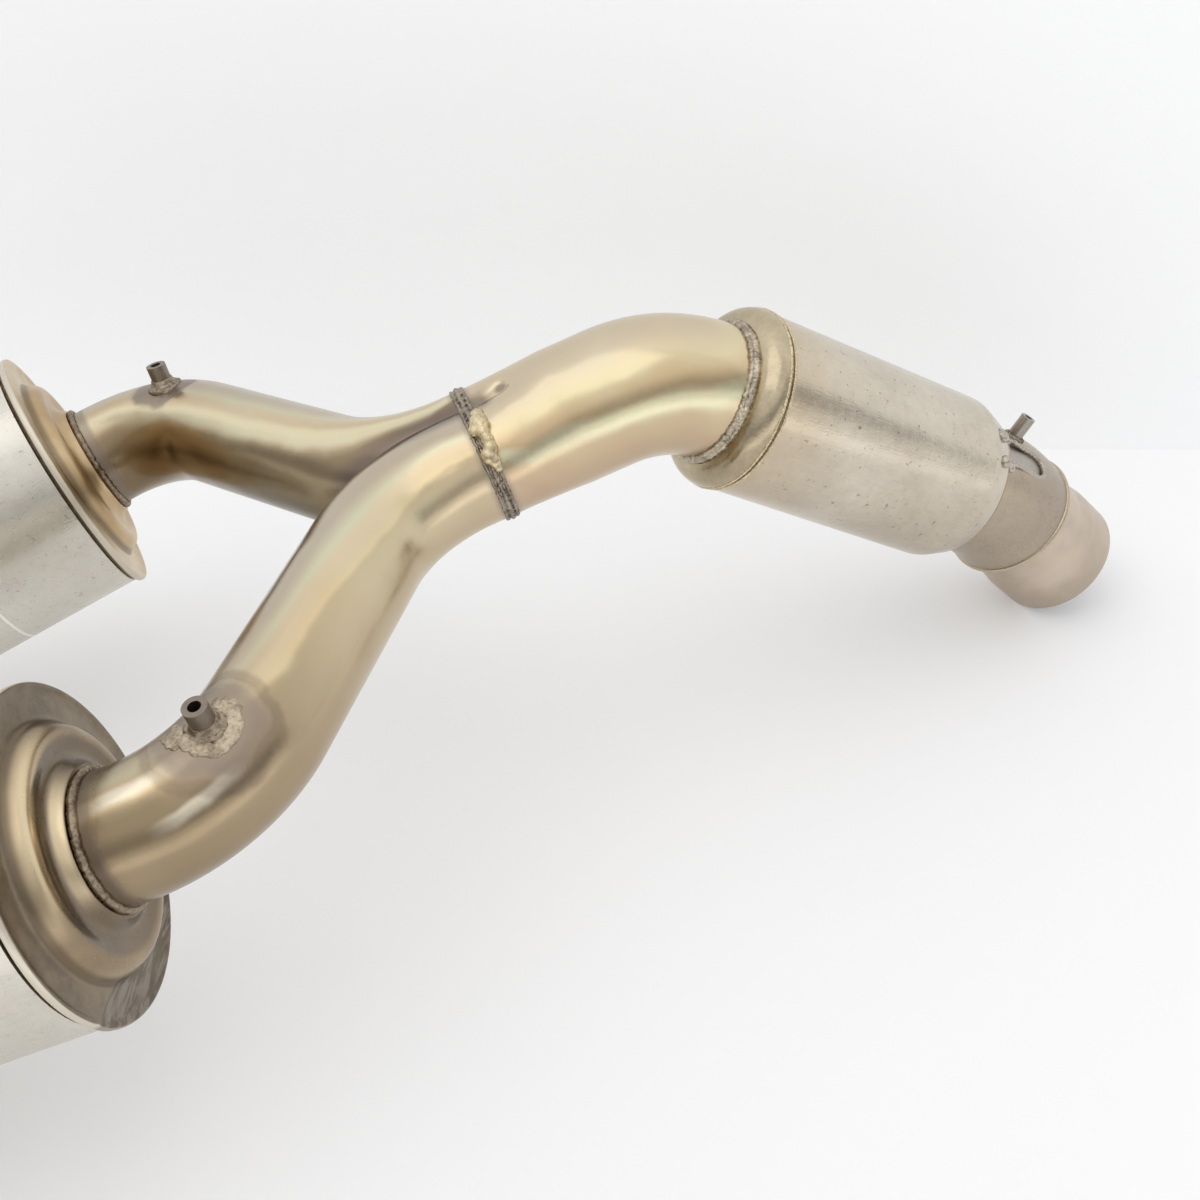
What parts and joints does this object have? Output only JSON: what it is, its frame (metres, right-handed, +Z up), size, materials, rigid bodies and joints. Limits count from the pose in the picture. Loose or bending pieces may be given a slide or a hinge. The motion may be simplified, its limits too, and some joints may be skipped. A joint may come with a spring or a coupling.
{
  "type": "motorcycle muffler",
  "caption": "Welded exhaust: flared inlet tip, slotted sleeve, catalyst canister and bent main pipe that forks into bent branch pipes with round silencer cans.",
  "frame": {"origin": "under the middle of the whole part, on the floor it lies on", "axes": "+X towards the inlet tip, +Y towards the left can, +Z up; mirrored about Y = 0"},
  "size_m": [0.8386, 0.3966, 0.2179],
  "materials": {
    "pipe": "heat-tinted satin",
    "weld": "rippled bead",
    "catalyst": "satin, scratched",
    "inlet": "heat-tinted satin",
    "cap": "satin, stained",
    "can": "brushed",
    "wool": "matt",
    "substrate": "ceramic honeycomb, matt"
  },
  "bodies": {
    "root": {"catalyst_end_cap": "catalyst", "catalyst_shell": "catalyst", "catalyst_substrate": "substrate", "catalyst_weld": "weld", "collector_weld": "weld", "inlet_liner": "inlet", "inlet_post": "inlet", "inlet_sleeve": "inlet", "inlet_tip": "inlet", "left_branch_pipe": "pipe", "left_can_shell": "can", "left_core_tube": "pipe", "left_front_cap": "cap", "left_neck_weld": "weld", "left_nipple": "pipe", "left_nipple_pad": "weld", "left_packing": "wool", "left_rear_cap": "cap", "main_pipe": "pipe", "right_branch_pipe": "pipe", "right_can_shell": "can", "right_core_tube": "pipe", "right_front_cap": "cap", "right_neck_weld": "weld", "right_nipple": "pipe", "right_nipple_pad": "weld", "right_packing": "wool", "right_rear_cap": "cap", "substrate_mat": "wool"}
  },
  "joints": []
}
